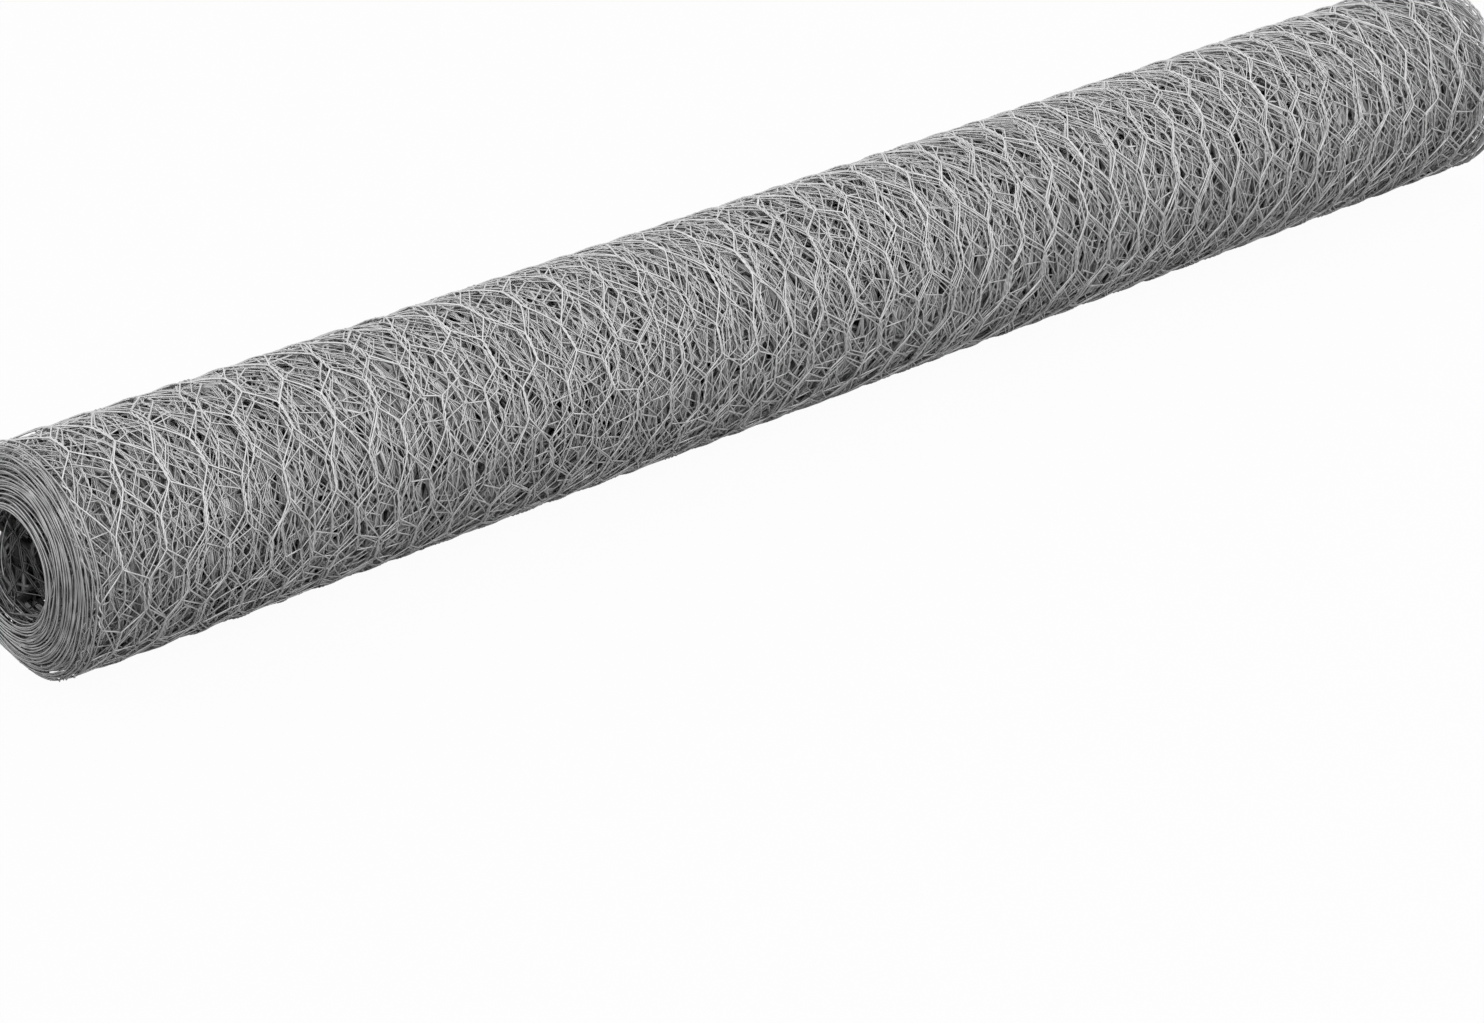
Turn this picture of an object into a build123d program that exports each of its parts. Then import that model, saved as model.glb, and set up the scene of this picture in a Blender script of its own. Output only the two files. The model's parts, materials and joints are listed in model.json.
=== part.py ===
"""Roll of galvanised hexagonal wire netting, lying on its side.

Millimetres, +Z up. The axis of the roll runs along X, and the origin is on the floor under its middle.
The near end, where the first turns stand out, is at -X.
"""

import math
import os

import numpy as np
from build123d import *

# Driving sizes
netting_width = 1000.0  # width that the netting is sold in, along the axis of the roll
roll_diameter = 114.0  # over the last turn
bore_diameter = 53.0  # inside the first turn
turn_pitch = 0.8  # from one turn to the next, with the wires nested
core_stand_out = 10.4  # how far the first turns stand out of the near end, past the last one
turn_stagger = 0.9  # how far the edge of a turn strays from an even end

# The near end from the bore outwards: places in the winding, and how much of the stand-out is left there
profile_winding_shares = (0.0, 0.08, 0.30, 0.89, 0.945, 1.0)
profile_stand_out_shares = (0.80, 1.0, 0.66, 0.36, 0.17, 0.0)

# Turn by turn, the golden angle gives a stray that never falls into step
stagger_step = math.pi * (3 - math.sqrt(5))

# Sizes that follow
roll_radius = roll_diameter / 2
bore_radius = bore_diameter / 2
winding = roll_radius - bore_radius
turn_count = max(2, round(winding / turn_pitch))
turn_thickness = winding / turn_count


def turn_shift(turn):
    """Place of one turn along the axis. Turns are counted from the bore outwards."""
    outward_share = turn / (turn_count - 1)
    stand_out_share = np.interp(outward_share, profile_winding_shares, profile_stand_out_shares)
    return turn_stagger * math.sin(stagger_step * turn) - core_stand_out * stand_out_share


# Every turn is the same width of netting, so a turn that stands out at one end is set in at the other
shifts = [turn_shift(turn) for turn in range(turn_count)]
middle_shift = (min(shifts) + max(shifts)) / 2
near_end = []
for turn, shift in enumerate(shifts):
    edge = shift - middle_shift - netting_width / 2
    inside = bore_radius + turn * turn_thickness
    near_end += [(edge, inside), (edge, inside + turn_thickness)]
far_end = [(edge + netting_width, radius) for edge, radius in reversed(near_end)]

# The wound netting, turned about the axis of the roll
roll_axis = Axis((0, 0, roll_radius), (1, 0, 0))
section_plane = Plane((0, 0, roll_radius), x_dir=(1, 0, 0), z_dir=(0, -1, 0))
with BuildPart() as netting_roll:
    with BuildSketch(section_plane):
        with BuildLine():
            Polyline(*near_end, *far_end, close=True)
        make_face()
    revolve(axis=roll_axis)
netting_roll.part.label = "netting_roll"

os.makedirs("parts", exist_ok=True)
export_step(netting_roll.part, "parts/netting_roll.step")
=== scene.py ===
import json
import math

import bpy
import numpy as np
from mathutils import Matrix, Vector


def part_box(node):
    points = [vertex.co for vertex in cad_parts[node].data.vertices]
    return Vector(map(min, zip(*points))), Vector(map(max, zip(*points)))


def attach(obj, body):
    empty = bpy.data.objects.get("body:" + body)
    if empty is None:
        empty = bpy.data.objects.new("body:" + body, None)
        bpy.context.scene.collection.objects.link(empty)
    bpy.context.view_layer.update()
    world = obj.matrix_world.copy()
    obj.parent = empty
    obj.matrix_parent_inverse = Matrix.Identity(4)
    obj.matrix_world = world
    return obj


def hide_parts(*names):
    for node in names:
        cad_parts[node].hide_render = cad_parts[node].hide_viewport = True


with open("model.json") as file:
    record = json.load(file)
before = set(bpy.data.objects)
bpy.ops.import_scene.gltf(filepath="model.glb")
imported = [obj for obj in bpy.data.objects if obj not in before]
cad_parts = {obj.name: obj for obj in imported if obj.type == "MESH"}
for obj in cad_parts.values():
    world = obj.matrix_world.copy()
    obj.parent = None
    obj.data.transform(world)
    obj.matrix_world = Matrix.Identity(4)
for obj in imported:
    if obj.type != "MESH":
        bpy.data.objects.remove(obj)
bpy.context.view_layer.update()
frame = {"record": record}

# Sizes from the frame, in metres
mm_per_m = 1000
node = "netting_roll"
low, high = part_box(node)
bore = next(mount for mount in frame["record"]["mounts"] if mount["name"] == "bore")
axis_height = bore["pos_m"][2]
bore_radius = bore["dims"]["r_mm"] / mm_per_m
netting_width = bore["dims"]["length_mm"] / mm_per_m
roll_radius = axis_height - low.z

# The netting
wire_radius = 0.00044
edge_wire_radius = 0.00044
mesh_size = 0.0244  # between the twists of a row
twist_length = 0.0158
twist_turns = 2
wire_count = 2 * round(netting_width / mesh_size)
column_pitch = 2 * netting_width / wire_count
slant_softness_share = 0.1  # 0 is a straight wire between two twists, 1 a full S

# Room for the edge wires and for the wires wrapped round them, inside the box of the roll
edge_room = edge_wire_radius + 2 * wire_radius
near_limit = low.x + edge_room
far_limit = high.x - edge_room

# Wires deep in the wall are drawn thick enough to let no light through it, except near the edges
deep_wire_radius = 0.0032
inner_wire_radius = 0.0012
thin_reach = 0.005  # from an edge of the netting: thin up to here, and as thick as drawn at twice as far

# How the roll is wound: tight round the bore, loose over that, tight again outside
turn_count = 38
last_radius = roll_radius - wire_radius
wall = last_radius - bore_radius
wind_turn_shares = (0.0, 0.12, 0.3, 0.6, 0.85, 1.0)
wind_wall_shares = (0.0, 0.07, 0.50, 0.885, 0.965, 1.0)
rows_turn_shares = (0.0, 0.12, 0.3, 0.66, 1.0)
rows_per_turn = (6.2, 6.6, 9.2, 12.0, 12.0)
edge_even_share = 0.9  # how far the winding is evened out at the edges, where the edge wires lie
edge_even_reach = 0.012
end_angle = math.radians(-35)  # of the cut end, from +Y towards +Z

# The ends: each turn's place along the axis
core_stand_out = 0.0104  # of the first turns over the last, at the near end
last_shift = 0.0057  # of the last turn, from the middle of the roll
turn_stray = 0.0010  # how far an edge strays from its neighbours
stray_step = math.pi * (3 - math.sqrt(5))  # so that no two turns stray alike
shift_turn_shares = (0.0, 0.08, 0.3, 0.89, 0.945, 1.0)
shift_shares = (0.8, 1.0, 0.66, 0.36, 0.17, 0.0)

# The near end: slopes by which the top and the back of the first and the last turn are set back
first_lean = (0.12, 0.02)
last_lean = (0.02, 0.04)
last_set_back = 0.0030  # of the whole last turn
first_set_back = 0.012  # of the very first turn, into the bore
first_turns = 3.0  # that are set back into the bore
pinch = 0.0030  # how far the lower back edge is pressed in
pinch_angle = math.radians(285)
pinch_sharpness = 6
pinch_reach = 0.02

# Where turns lie apart at the ends: turn, angle in degrees, width of the gap, half its spread in degrees
gap_reach = 0.05  # how far into the roll a gap runs
gaps = (
    (4, 232, 0.0014, 34),
    (9, 240, 0.0018, 38),
    (13, 236, 0.0013, 30),
    (19, 246, 0.0009, 30),
    (22, 240, 0.0010, 30),
    (6, 285, 0.0016, 40),
    (16, 292, 0.0012, 40),
    (9, 85, 0.0018, 42),
    (20, 75, 0.0010, 36),
    (12, 127, 0.0009, 26),
    (26, 105, 0.0008, 30),
    (4, 172, 0.0008, 30),
    (11, 160, 0.0010, 30),
    (14, 182, 0.0010, 28),
    (28, 188, 0.0011, 34),
    (33, 178, 0.0013, 44),
    (35, 150, 0.0011, 44),
    (3, 20, 0.0015, 40),
    (17, 350, 0.0012, 50),
)

# Slack of each twist by itself
seed = 7
twist_jitter = 0.0004
twist_lean = 0.05

# Slack of the last few turns, by place along the width: how far neighbouring turns lie out of step
place_shares = (0.0, 0.05, 0.12, 0.3, 0.45, 0.58, 1.0)
creep_sizes = (0.0180, 0.0060, 0.0060, 0.0120, 0.0090, 0.0060, 0.0055)  # round the roll
slip_sizes = (0.0030, 0.0022, 0.0024, 0.0032, 0.0028, 0.0024, 0.0022)  # along the roll
creep_turns = 20.0  # from one end of the range to the other and back
slip_step = math.sqrt(2) - 1

# How far the netting of those turns is crumpled, round the roll and along it
squash_sizes = (0.0014, 0.0014, 0.0016, 0.0020, 0.0018, 0.0010, 0.0010)
squash_wavelength = 0.09
crumple_sizes = (0.0009, 0.0009, 0.0011, 0.0013, 0.0012, 0.0009, 0.0009)
crumple_wavelength = 0.13

# The same four for the turns under them, and the turn from which on those sizes give way to the ones above
deep_creep = 0.0310
deep_slip = 0.0090
deep_squash = 0.0050
deep_crumple = 0.0044
together_starts = (36.5, 34.5, 34.5, 35.0, 34.5, 32.5, 32.5)
together_turns = 2.0  # that it takes to get there

# Slack that all turns at one place share: rows pushed round the roll towards one side, and waves
bunch_sizes = (0.0045, 0.0045, 0.0050, 0.0065, 0.0055, 0.0030, 0.0020)
bunch_angle = math.radians(200)
shared_sizes = (0.0012, 0.0012, 0.0016, 0.0018, 0.0018, 0.0020, 0.0020)
shared_wavelength = 0.10

# Slack in and out, and of the edge wires
edge_hold = 0.03  # the edge wire holds the netting straight within this distance
edge_bend = 0.00022  # of an edge wire, in and out
edge_bend_wavelength = 0.05
edge_wave = 0.0007  # of an edge wire, along the roll
edge_wave_wavelength = 0.07
radial_slack = 0.0003
radial_wavelength = 0.09

# Smooth fields behind the slack: waves in each, how their lengths differ, numbers to draw them by
slack_waves = 6
wavelength_shares = (0.6, 1.5)
crumple_field = 1
radial_field = 3
squash_field = 4
edge_bend_fields = (5, 6)
edge_wave_fields = (7, 8)
shared_slip_field = 7
shared_creep_field = 8

# Tables by turn: radius, length of netting and rows of twists wound so far
turn_steps = 3601
turn_table = np.linspace(0, turn_count, turn_steps)
turn_shares = turn_table / turn_count
radius_table = bore_radius + wall * np.interp(turn_shares, wind_turn_shares, wind_wall_shares)


def summed(rates):
    """Running sum over the turns of a rate per turn."""
    steps = (rates[1:] + rates[:-1]) / 2 * np.diff(turn_table)
    return np.concatenate([[0], np.cumsum(steps)])


length_table = summed(2 * math.pi * radius_table)
row_table = summed(np.interp(turn_shares, rows_turn_shares, rows_per_turn))


def angle_of(turn):
    """Angle round the axis, from +Y towards +Z."""
    return end_angle + 2 * math.pi * (turn - turn_count)


def length_of(turn):
    """Length of netting wound up to this turn."""
    return np.interp(turn, turn_table, length_table)


def blended(turn, value_of):
    """A value of whole turns, blended from each turn to the next."""
    lower = np.floor(turn)
    part = turn - lower
    return value_of(lower) * (1 - part) + value_of(lower + 1) * part


def turn_shift(turn):
    """Place of a turn along the axis, from the middle of the roll."""
    stand_out = core_stand_out * np.interp(turn / turn_count, shift_turn_shares, shift_shares)
    stray = turn_stray * blended(turn, lambda whole: np.sin(stray_step * whole))
    return last_shift - stand_out + stray


def slip_share(turn):
    """A value between -1 and 1 for each turn, evenly spread over any few turns."""
    return blended(turn, lambda whole: 2 * np.remainder(slip_step * whole, 1) - 1)


def creep_share(turn):
    """A value between -1 and 1 that runs evenly up and down from turn to turn."""
    return 1 - np.abs(np.remainder(4 * (turn_count - turn) / creep_turns + 1, 4) - 2)


def turn_radius(across, turn, angle):
    """Radius of the netting at this place, with the gaps between loose turns."""
    inward = np.minimum(across, netting_width - across)
    even_share = edge_even_share * np.exp(-inward / edge_even_reach)
    loose_share = np.exp(-inward / gap_reach)
    tight = np.interp(turn, turn_table, radius_table) - bore_radius
    wound = tight * (1 - even_share) + wall * turn / turn_count * even_share
    total = wall
    for gap_turn, gap_degrees, gap_width, half_spread in gaps:
        away = np.remainder(angle - math.radians(gap_degrees) + math.pi, 2 * math.pi) - math.pi
        open_here = gap_width * loose_share * np.exp(-(away / math.radians(half_spread)) ** 2)
        wound = wound + open_here * np.clip(turn - gap_turn, 0, 1)
        total = total + open_here
    return bore_radius + wall * wound / total


def wander(across, length, wavelength, field):
    """A smooth field over the netting, about 1 in size, the same for everything at one place."""
    field_draw = np.random.default_rng(seed + field)
    total = np.zeros(np.broadcast(across, length).shape)
    for _ in range(slack_waves):
        heading = field_draw.uniform(0, 2 * math.pi)
        phase = field_draw.uniform(0, 2 * math.pi)
        along = across * math.cos(heading) + length * math.sin(heading)
        total += np.sin(2 * math.pi * along / (wavelength * field_draw.uniform(*wavelength_shares)) + phase)
    return total / math.sqrt(slack_waves / 2)


def place(across, turn, lift):
    """Points of the roll from places on the netting. Lift is the height above the middle of the layer."""
    angle = angle_of(turn)
    slack = radial_slack * wander(across, length_of(turn), radial_wavelength, radial_field)
    radius = np.minimum(turn_radius(across, turn, angle) + lift + slack, last_radius)
    pressed_share = np.maximum(np.cos(angle - pinch_angle), 0) ** pinch_sharpness
    pressed_share = pressed_share * np.exp(-across / pinch_reach)
    radius = radius * (1 - pinch / roll_radius * pressed_share)
    y = radius * np.cos(angle)
    z = radius * np.sin(angle)
    turn_share = turn / turn_count
    lean_top, lean_back = (first + (last - first) * turn_share for first, last in zip(first_lean, last_lean))
    near_shift = lean_top * z + lean_back * y + last_set_back * turn_share**2
    near_shift = near_shift + first_set_back * np.clip(1 - turn / first_turns, 0, 1)
    x = across - netting_width / 2 + turn_shift(turn) + near_shift * (1 - across / netting_width)
    return np.stack([np.clip(x, near_limit, far_limit), y, axis_height + z], axis=-1)


# Wires as meshes
chart_margin_share = 0.1  # of the strip that each tube has in the map


def thinned(paths, radius):
    """Radius at each point of wires: the real one near the edges of the netting, the given one further in."""
    inward = netting_width / 2 - np.abs(paths[..., 0])
    thick_share = np.clip((inward - thin_reach) / thin_reach, 0, 1)
    return wire_radius + (radius - wire_radius) * thick_share


def tubes(paths, radii, sides):
    """Vertices, sides, caps and map of tubes along paths, an array of tubes by points by xyz."""
    count, rings = paths.shape[:2]
    ahead = np.gradient(paths, axis=1)
    ahead /= np.linalg.norm(ahead, axis=2, keepdims=True)
    outward = paths - np.array([0, 0, axis_height])
    outward[..., 0] = 0
    beside = np.cross(ahead, outward)
    beside /= np.linalg.norm(beside, axis=2, keepdims=True)
    above = np.cross(beside, ahead)
    angle = 2 * math.pi * (np.arange(sides) + 1 / 2) / sides
    ring = np.cos(angle)[:, None] * beside[:, :, None] + np.sin(angle)[:, None] * above[:, :, None]
    points = paths[:, :, None] + radii[..., None, None] * ring

    number = np.arange(count * rings * sides).reshape(count, rings, sides)
    next_side = np.roll(number, -1, axis=2)
    quads = np.stack([number[:, :-1], next_side[:, :-1], next_side[:, 1:], number[:, 1:]], axis=-1)
    caps = np.concatenate([number[:, 0, ::-1], number[:, -1]])

    along = np.broadcast_to(np.linspace(0, 1, rings)[None, :, None], number.shape)
    around = 1 - np.abs(2 * np.arange(sides) / sides - 1)
    strip = np.arange(count)[:, None, None] + chart_margin_share + (1 - 2 * chart_margin_share) * around
    chart = np.stack([along, np.broadcast_to(strip / count, number.shape)], axis=-1)
    return points.reshape(-1, 3), quads.reshape(-1, 4), caps, chart.reshape(-1, 2)


def add_piece(name, points, quads, caps, chart, material):
    """One mesh object from the results of tubes()."""
    corners = np.concatenate([quads.ravel(), caps.ravel()])
    totals = np.repeat([quads.shape[1], caps.shape[1]], [len(quads), len(caps)])
    mesh = bpy.data.meshes.new(name)
    mesh.vertices.add(len(points))
    mesh.vertices.foreach_set("co", points.astype(np.float32).ravel())
    mesh.loops.add(len(corners))
    mesh.loops.foreach_set("vertex_index", corners.astype(np.int32))
    mesh.polygons.add(len(totals))
    mesh.polygons.foreach_set("loop_start", (np.cumsum(totals) - totals).astype(np.int32))
    mesh.update(calc_edges=True)
    mesh.shade_smooth()
    layer = mesh.uv_layers.new(name="OFBake")
    layer.uv.foreach_set("vector", chart[corners].astype(np.float32).ravel())
    mesh.validate()
    mesh.materials.append(material)
    piece = bpy.data.objects.new(name, mesh)
    bpy.context.scene.collection.objects.link(piece)
    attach(piece, "root")
    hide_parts(node)


# Twists of the netting: one place and lean for each, shared by its two wires
row_count = int(row_table[-1])
column_count = wire_count // 2 + 1
lattice = (row_count, column_count)
all_rows = np.arange(row_count)[:, None]
all_columns = np.arange(column_count)[None, :]
flat_across = (all_columns + all_rows % 2 / 2) * column_pitch
flat_turn = np.broadcast_to(np.interp(all_rows + 1 / 2, row_table, turn_table), lattice)
flat_length = length_of(flat_turn)
turn_length = 2 * math.pi * np.interp(flat_turn, turn_table, radius_table)
hold_share = np.clip(np.minimum(flat_across, netting_width - flat_across) / edge_hold, 0, 1)


def by_place(sizes):
    """A size at each twist, from sizes by place along the width."""
    return np.interp(flat_across / netting_width, place_shares, sizes)


together_share = np.clip((flat_turn - by_place(together_starts)) / together_turns, 0, 1)


def slack_size(sizes, deep_size):
    """A size of slack at each twist, which is at least the deep one where turns don't lie together."""
    return np.maximum(by_place(sizes), deep_size * (1 - together_share))


creep_size = slack_size(creep_sizes, deep_creep)
slip_size = slack_size(slip_sizes, deep_slip)
squash_size = slack_size(squash_sizes, deep_squash)
crumple_size = slack_size(crumple_sizes, deep_crumple)


def shared(turn, field):
    """How far all turns at this place on the roll have moved together."""
    beside = flat_across + roll_radius * np.cos(angle_of(turn))
    upward = roll_radius * np.sin(angle_of(turn))
    return by_place(shared_sizes) * wander(beside, upward, shared_wavelength, field)


def sideways(length, turn):
    """How far the twists at this place on the netting have moved along the axis."""
    crumpled = crumple_size * wander(flat_across, length, crumple_wavelength, crumple_field)
    return hold_share * (crumpled + slip_size * slip_share(turn) + shared(turn, shared_slip_field))


draw = np.random.default_rng(seed)
crept = creep_size * creep_share(flat_turn)
crept = crept + squash_size * wander(flat_across, flat_length, squash_wavelength, squash_field)
crept = crept + shared(flat_turn, shared_creep_field)
crept = crept - by_place(bunch_sizes) * np.sin(angle_of(flat_turn) - bunch_angle)
crept = crept + draw.normal(0, twist_jitter, lattice)
moved = sideways(flat_length, flat_turn)
twist_across = flat_across + moved + hold_share * draw.normal(0, twist_jitter, lattice)
twist_turn = flat_turn + crept / turn_length
moved_further = sideways(flat_length + twist_length, flat_turn + twist_length / turn_length)
lean = (moved_further - moved) / twist_length + hold_share * draw.normal(0, twist_lean, lattice)


def wire_paths(rows, twist_rings, slant_rings):
    """Paths of all wires through these rows, as an array of wires by points by xyz."""
    wires = np.arange(wire_count)[:, None]
    row = rows[None, :]
    odd = row % 2
    column = np.where(odd, wires // 2, (wires + 1) // 2)
    on_left = np.where(odd, wires % 2 == 0, wires % 2 == 1)
    at_edge = (odd == 0) & ((wires == 0) | (wires == wire_count - 1))

    # Two wires wind round each other in a twist, and one wire round the edge wire at an edge
    twist_share = np.linspace(0, 1, twist_rings)
    along = (twist_share - 1 / 2) * twist_length
    hand = np.where(odd, 1, -1)[..., None]
    phase = 2 * math.pi * twist_turns * twist_share * hand + np.where(on_left, math.pi, 0)[..., None]
    reach = np.where(at_edge, wire_radius + edge_wire_radius, wire_radius)[..., None]
    inset = np.where(at_edge, np.where(wires == 0, 1, -1) * edge_wire_radius, 0)
    middle = twist_across[row, column] + inset
    across = middle[..., None] + reach * np.cos(phase) + lean[row, column][..., None] * along
    turn = twist_turn[row, column][..., None] + along / turn_length[row, column][..., None]
    lift = reach * np.sin(phase)
    if slant_rings:
        step_shares = (np.arange(slant_rings) + 1) / (slant_rings + 1)
        smooth_shares = 3 * step_shares**2 - 2 * step_shares**3
        soft_shares = step_shares + slant_softness_share * (smooth_shares - step_shares)

        def with_slants(values, shares):
            """The twists' points, each followed by those of the slant to the next row."""
            slants = values[:, :-1, -1:] * (1 - shares) + values[:, 1:, :1] * shares
            slants = np.concatenate([slants, slants[:, -1:]], axis=1)
            joined = np.concatenate([values, slants], axis=2)
            return joined.reshape(wire_count, -1)[:, :-slant_rings]

        across = with_slants(across, soft_shares)
        turn = with_slants(turn, step_shares)
        lift = with_slants(lift, step_shares)
    flat = (wire_count, -1)
    return place(across.reshape(flat), turn.reshape(flat), lift.reshape(flat))


def edge_paths(rings_per_turn):
    """Paths of the two edge wires, bent a little as they were wound."""
    rings = turn_count * rings_per_turn
    turn = np.linspace(0, turn_count, rings)
    length = length_of(turn)
    edges = (edge_wire_radius, netting_width - edge_wire_radius)
    paths = []
    for across, bend_field, wave_field in zip(edges, edge_bend_fields, edge_wave_fields):
        lift = edge_bend * wander(across, length, edge_bend_wavelength, bend_field)
        path = place(np.full(rings, across), turn, lift)
        path[:, 0] += edge_wave * wander(across, length, edge_wave_wavelength, wave_field)
        path[:, 0] = np.clip(path[:, 0], near_limit, far_limit)
        paths.append(path)
    return np.stack(paths)


# Zinc, lighter and darker, and painted shade: how much of its tone is left from the bore to the outside of
# the roll, darker towards the bore where the outer turns keep light out
wire_tones = (0.77, 0.63)
edge_tones = (0.62, 0.37)
painted_shade_depth_shares = (0.0, 0.25, 0.60, 0.84, 0.92, 1.0)
painted_shade_tone_shares = (0.40, 0.50, 0.66, 0.82, 0.90, 1.0)
zinc_scale = 160.0
zinc_detail = 5.0
dark_stop_share = 0.3
light_stop_share = 0.7
zinc_roughness = (0.40, 0.62)
grain_scale = 1400.0  # of the fine runs and specks in the zinc
grain_height = 0.00006


def grey(tone):
    """A colour without hue."""
    return (tone, tone, tone, 1)


def painted_depth_shade(nodes, links, coordinates):
    """Colour output of painted shade: dark where the zinc lies deep in the roll, standing in for the light
    that the outer turns keep from it.
    """
    from_axis = nodes.new("ShaderNodeMapping")
    from_axis.inputs["Location"].default_value = (0, 0, -axis_height)
    from_axis.inputs["Scale"].default_value = (0, 1, 1)
    links.new(coordinates.outputs["Object"], from_axis.inputs["Vector"])
    radius = nodes.new("ShaderNodeVectorMath")
    radius.operation = "LENGTH"
    links.new(from_axis.outputs["Vector"], radius.inputs[0])
    depth = nodes.new("ShaderNodeMapRange")
    depth.inputs["From Min"].default_value = bore_radius
    depth.inputs["From Max"].default_value = roll_radius
    links.new(radius.outputs["Value"], depth.inputs["Value"])
    shade = nodes.new("ShaderNodeValToRGB")
    stops = shade.color_ramp.elements
    for number, (depth_share, tone_share) in enumerate(zip(painted_shade_depth_shares, painted_shade_tone_shares)):
        if number >= len(stops):
            stops.new(depth_share)
        stops[number].position = depth_share
        stops[number].color = grey(tone_share)
    links.new(depth.outputs["Result"], shade.inputs["Fac"])
    return shade.outputs["Color"]


def galvanised(name, light_tone, dark_tone, deep):
    """Dull zinc, lighter and darker from place to place, with painted shade that darkens it deep in the roll
    where that is asked.
    """
    material = bpy.data.materials.new(name)
    material.use_nodes = True
    nodes, links = material.node_tree.nodes, material.node_tree.links
    shader = nodes["Principled BSDF"]
    shader.inputs["Metallic"].default_value = 1.0
    coordinates = nodes.new("ShaderNodeTexCoord")
    noise = nodes.new("ShaderNodeTexNoise")
    noise.inputs["Scale"].default_value = zinc_scale
    noise.inputs["Detail"].default_value = zinc_detail
    links.new(coordinates.outputs["Object"], noise.inputs["Vector"])
    tone = nodes.new("ShaderNodeValToRGB")
    dark_stop, light_stop = tone.color_ramp.elements
    dark_stop.position = dark_stop_share
    dark_stop.color = grey(dark_tone)
    light_stop.position = light_stop_share
    light_stop.color = grey(light_tone)
    links.new(noise.outputs["Fac"], tone.inputs["Fac"])
    colour = tone.outputs["Color"]
    # Painted shade: the colour is multiplied by a tone that is darker the deeper the zinc lies in the roll
    if deep:
        painted_shade_mix = nodes.new("ShaderNodeMix")
        painted_shade_mix.data_type = "RGBA"
        painted_shade_mix.blend_type = "MULTIPLY"
        painted_shade_mix.inputs["Factor"].default_value = 1.0
        links.new(colour, painted_shade_mix.inputs["A"])
        links.new(painted_depth_shade(nodes, links, coordinates), painted_shade_mix.inputs["B"])
        colour = painted_shade_mix.outputs["Result"]
    links.new(colour, shader.inputs["Base Color"])
    rough = nodes.new("ShaderNodeMapRange")
    rough.inputs["To Min"].default_value, rough.inputs["To Max"].default_value = zinc_roughness
    links.new(noise.outputs["Fac"], rough.inputs["Value"])
    links.new(rough.outputs["Result"], shader.inputs["Roughness"])
    grain = nodes.new("ShaderNodeTexNoise")
    grain.inputs["Scale"].default_value = grain_scale
    links.new(coordinates.outputs["Object"], grain.inputs["Vector"])
    relief = nodes.new("ShaderNodeBump")
    relief.inputs["Distance"].default_value = grain_height
    links.new(grain.outputs["Fac"], relief.inputs["Height"])
    links.new(relief.outputs["Normal"], shader.inputs["Normal"])
    return material


# The pieces, by how much of each wire is modelled
# Name, first and last turn, points in a twist and in a slant, sides of a wire, radius of a wire
groups = (
    ("turns_core", 0, 8, 2, 0, 3, wire_radius),
    ("turns_middle", 8, 18, 2, 0, 3, deep_wire_radius),
    ("turns_inner", 18, 24, 2, 0, 3, inner_wire_radius),
    ("turns_upper", 24, 29, 2, 0, 3, wire_radius),
    ("turns_under_top", 29, 33, 5, 2, 3, wire_radius),
    ("turns_under_last", 33, 35, 7, 2, 3, wire_radius),
    ("turns_second", 35, 37, 9, 2, 3, wire_radius),
    ("turn_last", 37, 38, 17, 3, 4, wire_radius),
)
edge_rings_per_turn = 72
edge_sides = 4
# The netting's zinc has the painted shade deep in the roll; the edge wires' zinc has none
netting_zinc = galvanised("galvanised_netting", *wire_tones, deep=True)
edge_zinc = galvanised("galvanised_edge", *edge_tones, deep=False)
for name, first, last, twist_rings, slant_rings, sides, radius in groups:
    first_row = round(np.interp(first, turn_table, row_table))
    last_row = min(round(np.interp(last, turn_table, row_table)), row_count - 1)
    paths = wire_paths(np.arange(first_row, last_row + 1), twist_rings, slant_rings)
    add_piece(name, *tubes(paths, thinned(paths, radius), sides), netting_zinc)
paths = edge_paths(edge_rings_per_turn)
add_piece("edge_wires", *tubes(paths, np.full(paths.shape[:2], edge_wire_radius), edge_sides), edge_zinc)

# Floor
floor_size = 40.0
floor_tone = 0.90  # of the light that it throws back
floor_seen_tone = 0.97
floor_seen_white_share = 0.96  # of plain white in what the camera sees of the floor
floor_roughness = 0.9
half = floor_size / 2
floor_mesh = bpy.data.meshes.new("floor")
floor_corners = [(-half, -half, 0), (half, -half, 0), (half, half, 0), (-half, half, 0)]
floor_mesh.from_pydata(floor_corners, [], [range(len(floor_corners))])
floor = bpy.data.objects.new("floor", floor_mesh)
bpy.context.scene.collection.objects.link(floor)
floor_material = bpy.data.materials.new("floor")
floor_material.use_nodes = True
nodes, links = floor_material.node_tree.nodes, floor_material.node_tree.links
floor_shader = nodes["Principled BSDF"]
floor_shader.inputs["Roughness"].default_value = floor_roughness
floor_shader.inputs["Specular IOR Level"].default_value = 0
floor_white = nodes.new("ShaderNodeEmission")
floor_path = nodes.new("ShaderNodeLightPath")
floor_share = nodes.new("ShaderNodeMapRange")
floor_share.inputs["To Max"].default_value = floor_seen_white_share
links.new(floor_path.outputs["Is Camera Ray"], floor_share.inputs["Value"])
floor_colour = nodes.new("ShaderNodeMix")
floor_colour.data_type = "RGBA"
floor_colour.inputs["A"].default_value = grey(floor_tone)
floor_colour.inputs["B"].default_value = grey(floor_seen_tone)
links.new(floor_path.outputs["Is Camera Ray"], floor_colour.inputs["Factor"])
links.new(floor_colour.outputs["Result"], floor_shader.inputs["Base Color"])
floor_mix = nodes.new("ShaderNodeMixShader")
links.new(floor_share.outputs["Result"], floor_mix.inputs[0])
links.new(floor_shader.outputs["BSDF"], floor_mix.inputs[1])
links.new(floor_white.outputs["Emission"], floor_mix.inputs[2])
links.new(floor_mix.outputs["Shader"], nodes["Material Output"].inputs["Surface"])
floor_mesh.materials.append(floor_material)

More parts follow.
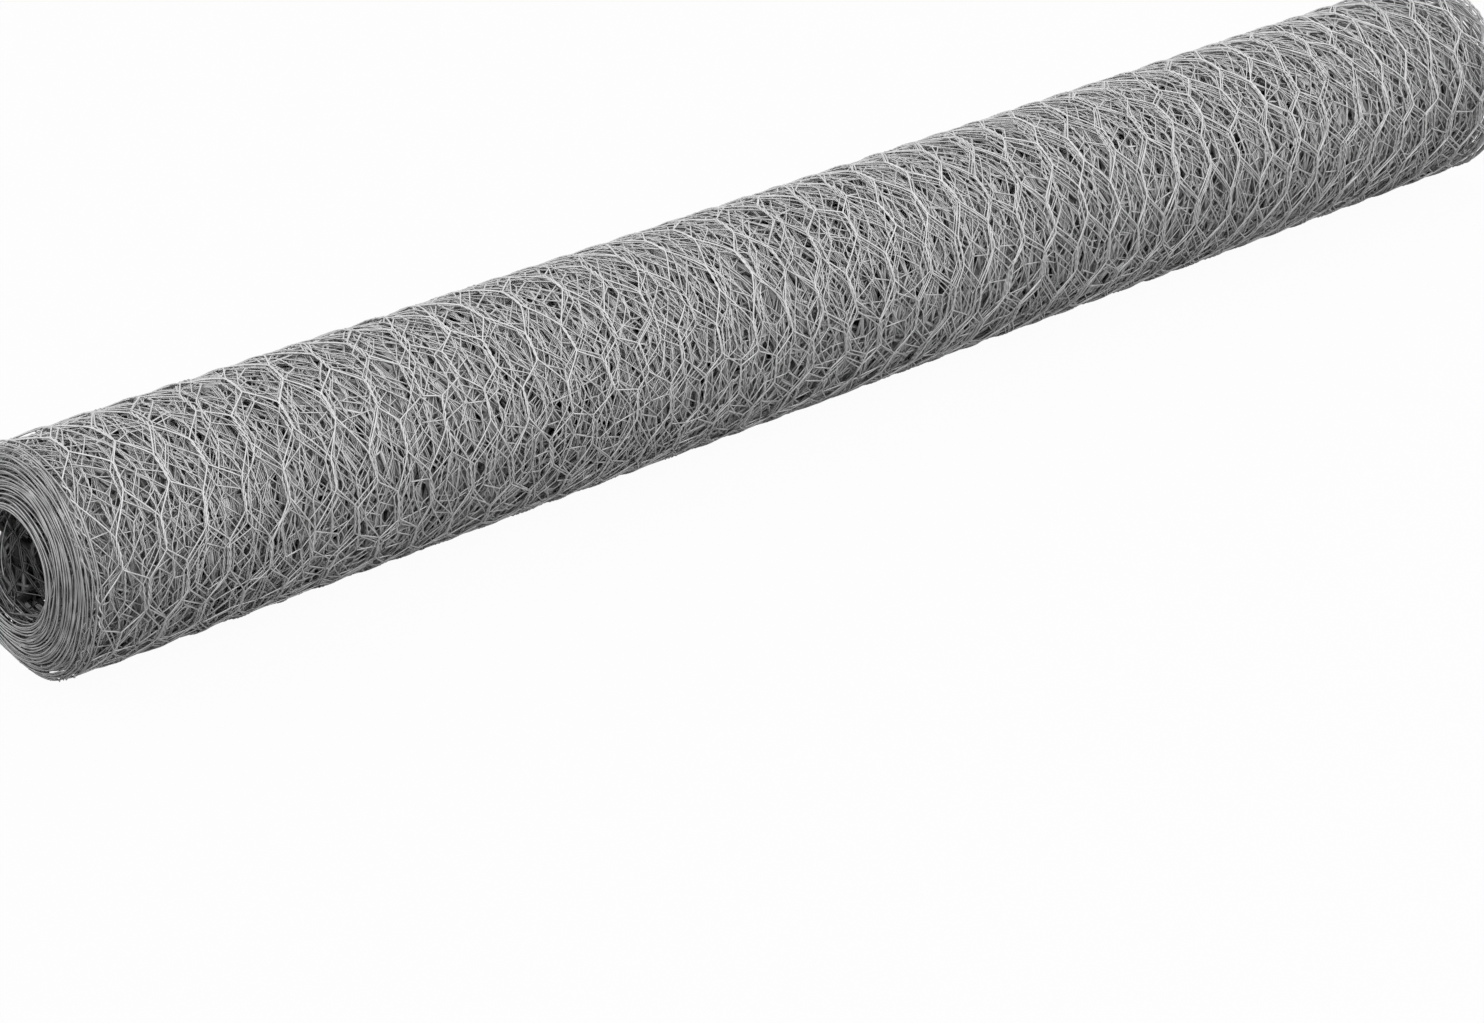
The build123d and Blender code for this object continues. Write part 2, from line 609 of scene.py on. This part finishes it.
# World: white at the horizon and brighter above where it is seen or reflected, softer as light
horizon_strength = 1.0
zenith_strength = 1.42
light_strength = 0.6
world = bpy.data.worlds.new("studio")
bpy.context.scene.world = world
world.use_nodes = True
nodes, links = world.node_tree.nodes, world.node_tree.links
background = nodes["Background"]
background.inputs["Color"].default_value = grey(1)
path = nodes.new("ShaderNodeLightPath")
seen = path.outputs["Is Camera Ray"]
for kind in ("Is Glossy Ray", "Is Transmission Ray"):
    either = nodes.new("ShaderNodeMath")
    either.operation = "MAXIMUM"
    links.new(seen, either.inputs[0])
    links.new(path.outputs[kind], either.inputs[1])
    seen = either.outputs["Value"]
sky = nodes.new("ShaderNodeTexCoord")
height = nodes.new("ShaderNodeSeparateXYZ")
links.new(sky.outputs["Generated"], height.inputs["Vector"])
brightness = nodes.new("ShaderNodeMapRange")
brightness.inputs["To Min"].default_value = horizon_strength
brightness.inputs["To Max"].default_value = zenith_strength
links.new(height.outputs["Z"], brightness.inputs["Value"])
strength = nodes.new("ShaderNodeMapRange")
strength.inputs["To Min"].default_value = light_strength
links.new(brightness.outputs["Result"], strength.inputs["To Max"])
links.new(seen, strength.inputs["Value"])
links.new(strength.outputs["Result"], background.inputs["Strength"])

# A large, weak lamp in front of the roll and to its right
lamp_size = 2.5
lamp_power = 8
lamp_place = Vector((0.8, -2.2, 1.4))
lamp_data = bpy.data.lights.new("key", "AREA")
lamp_data.shape = "DISK"
lamp_data.size = lamp_size
lamp_data.energy = lamp_power
lamp = bpy.data.objects.new("key", lamp_data)
lamp.location = lamp_place
lamp.rotation_euler = (-lamp_place).to_track_quat("-Z", "Y").to_euler()
bpy.context.scene.collection.objects.link(lamp)

# Camera, from the photo's outline
image_width = 1484
focal_pixels = 4585.8
sensor_width = 36.0
azimuth = math.radians(-43.116)
elevation = math.radians(24.311)
aim = Vector((-0.0503, 0, -0.0544))
distance = 2.3991
sight_limit = 100.0
back = Vector((
    math.sin(azimuth) * math.cos(elevation),
    -math.cos(azimuth) * math.cos(elevation),
    math.sin(elevation),
))
camera_data = bpy.data.cameras.new("camera")
camera_data.sensor_width = sensor_width
camera_data.lens = focal_pixels / image_width * sensor_width
camera_data.clip_end = sight_limit
camera = bpy.data.objects.new("camera", camera_data)
camera.location = aim + back * distance
camera.rotation_euler = back.to_track_quat("Z", "Y").to_euler()
bpy.context.scene.collection.objects.link(camera)
bpy.context.scene.camera = camera
bpy.context.scene.view_settings.view_transform = "Standard"
